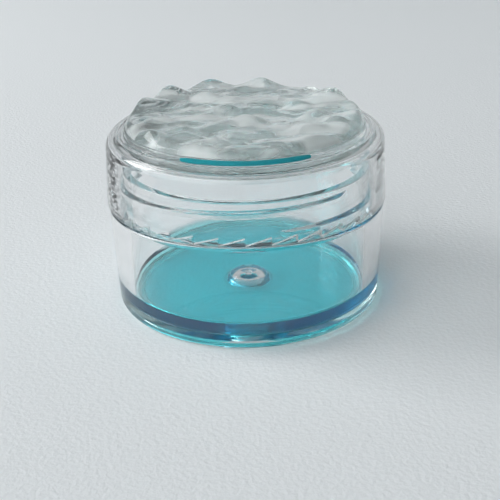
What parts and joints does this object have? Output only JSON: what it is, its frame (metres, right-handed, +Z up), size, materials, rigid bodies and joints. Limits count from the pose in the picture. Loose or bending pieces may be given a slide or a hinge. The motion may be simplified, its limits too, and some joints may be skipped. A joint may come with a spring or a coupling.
{
  "type": "screw-lid jar",
  "caption": "Small round clear jar with a screw lid, a translucent turquoise layer in its bottom and a rippled water-texture disc on the lid.",
  "frame": {"origin": "centre of the underside of the foot ring", "axes": "+Z up the jar's axis towards the lid; +X and +Y lie in the underside's plane"},
  "size_m": [0.04, 0.04, 0.0282],
  "materials": {
    "clear_styrene": "polished clear moulded plastic",
    "turquoise_resin": "clear turquoise-tinted resin with a wet surface",
    "clear_film": "clear flexible plastic sheet",
    "clear_gel": "glossy clear acrylic gel, rippled"
  },
  "bodies": {
    "root": {"jar": "clear_styrene", "tinted_layer": "turquoise_resin"},
    "seal": {"seal_disc": "clear_film"},
    "lid": {"screw_lid": "clear_styrene", "ripple_layer": "clear_gel"}
  },
  "joints": [
    {"name": "lid_lift", "type": "slide", "parent": "root", "child": "seal", "axis": [0, 0, 1], "range_m": [0, 0.006]},
    {"name": "lid_turn", "type": "hinge", "parent": "seal", "child": "lid", "pos_m": [0, 0, 0.021], "axis": [0, 0, 1], "range_deg": [0, 720]}
  ],
  "couplings": [
    {"joint": "lid_lift", "follows": "lid_turn", "m_per_rad": 0.0004774}
  ]
}
